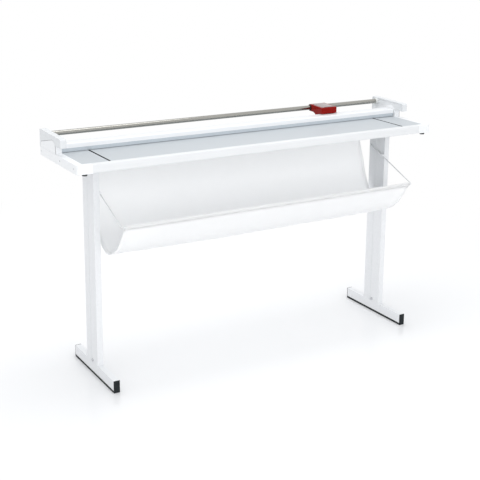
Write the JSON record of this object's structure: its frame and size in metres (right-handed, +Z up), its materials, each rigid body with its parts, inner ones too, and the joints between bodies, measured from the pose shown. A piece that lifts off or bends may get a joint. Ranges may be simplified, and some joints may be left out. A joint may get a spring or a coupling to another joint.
{
  "type": "sliding paper trimmer on a stand",
  "caption": "Long flat trimmer table on a stand, with a red cutting head sliding on a guide shaft, a clamp beam along the cut and a cloth trough below for the trimmed sheets",
  "frame": {"origin": "on the floor, in the middle of the whole outline seen from above", "axes": "+X along the table to the right of someone standing in front, +Y to the back, +Z up"},
  "size_m": [1.64, 0.4518, 0.9693],
  "materials": {
    "powder_coat": "satin pale grey powder coat",
    "black_plastic": "matt moulded black",
    "zinc_screws": "bright zinc plate",
    "laminate": "satin blue-grey laminate",
    "white_plastic": "satin moulded white",
    "grey_casting": "pale grey paint on a casting",
    "white_aluminium": "white coated extrusion",
    "clear_plastic": "clear, slightly blue",
    "black_rubber": "soft matt black",
    "pale_rubber": "soft pale grey",
    "polished_steel": "polished round bar",
    "blade_steel": "ground tool steel",
    "red_plastic": "glossy deep red",
    "silver_plate": "silver-grey satin",
    "cloth": "smooth white coated cloth",
    "white_wire": "white coated wire"
  },
  "bodies": {
    "stand_and_table": {"arm_clips": "white_plastic", "catch_cloth": "cloth", "cloth_hooks": "white_wire", "column_bolts": "zinc_screws", "column_nuts": "zinc_screws", "foot_spigots": "powder_coat", "front_foot_caps": "black_plastic", "front_profile": "white_plastic", "front_rod": "white_wire", "guide_shaft": "polished_steel", "left_column": "powder_coat", "left_end_cap": "white_plastic", "left_foot": "powder_coat", "left_foot_strip": "black_plastic", "left_rail_block": "white_plastic", "left_shaft_bracket": "grey_casting", "left_slot_liner": "black_plastic", "left_top_plate": "powder_coat", "left_wire_arm": "white_wire", "lift_springs": "black_rubber", "lower_blade": "blade_steel", "rear_foot_caps": "black_plastic", "rear_rod": "white_wire", "right_column": "powder_coat", "right_end_cap": "white_plastic", "right_foot": "powder_coat", "right_foot_strip": "black_plastic", "right_rail_block": "white_plastic", "right_shaft_bracket": "grey_casting", "right_slot_liner": "black_plastic", "right_top_plate": "powder_coat", "right_wire_arm": "white_wire", "rod_caps": "white_plastic", "shaft_bumpers": "pale_rubber", "table_board": "laminate", "table_feet": "black_rubber"},
    "head": {"head_body": "red_plastic", "head_lid": "silver_plate", "shaft_bush": "black_plastic", "blade_axle": "zinc_screws", "roller_pin": "zinc_screws"},
    "blade": {"rotary_blade": "blade_steel", "blade_hub": "blade_steel"},
    "roller": {"pressure_roller": "black_rubber"},
    "clamp": {"clamp_beam": "white_aluminium", "clamp_strip": "clear_plastic", "clamp_pad": "black_rubber", "left_clamp_plug": "white_plastic", "right_clamp_plug": "white_plastic"}
  },
  "joints": [
    {"name": "head_slide", "type": "slide", "parent": "stand_and_table", "child": "head", "axis": [1, 0, 0], "range_m": [-1.2055, 0.2805]},
    {"name": "blade_spin", "type": "hinge", "parent": "head", "child": "blade", "pos_m": [0.4625, 0.1307, 0.921], "axis": [0, 1, 0], "continuous": true},
    {"name": "roller_spin", "type": "hinge", "parent": "head", "child": "roller", "pos_m": [0.4625, 0.1109, 0.9402], "axis": [0, 1, 0], "continuous": true},
    {"name": "clamp_press", "type": "slide", "parent": "stand_and_table", "child": "clamp", "axis": [0, 0, -1], "range_m": [0, 0.0012], "stiffness_N_per_m": 12000, "springref_m": -0.004, "deforming": ["lift_springs"]}
  ],
  "couplings": [
    {"joint": "blade_spin", "follows": "head_slide", "rad_per_m": 44.444},
    {"joint": "roller_spin", "follows": "head_slide", "rad_per_m": 166.67}
  ]
}
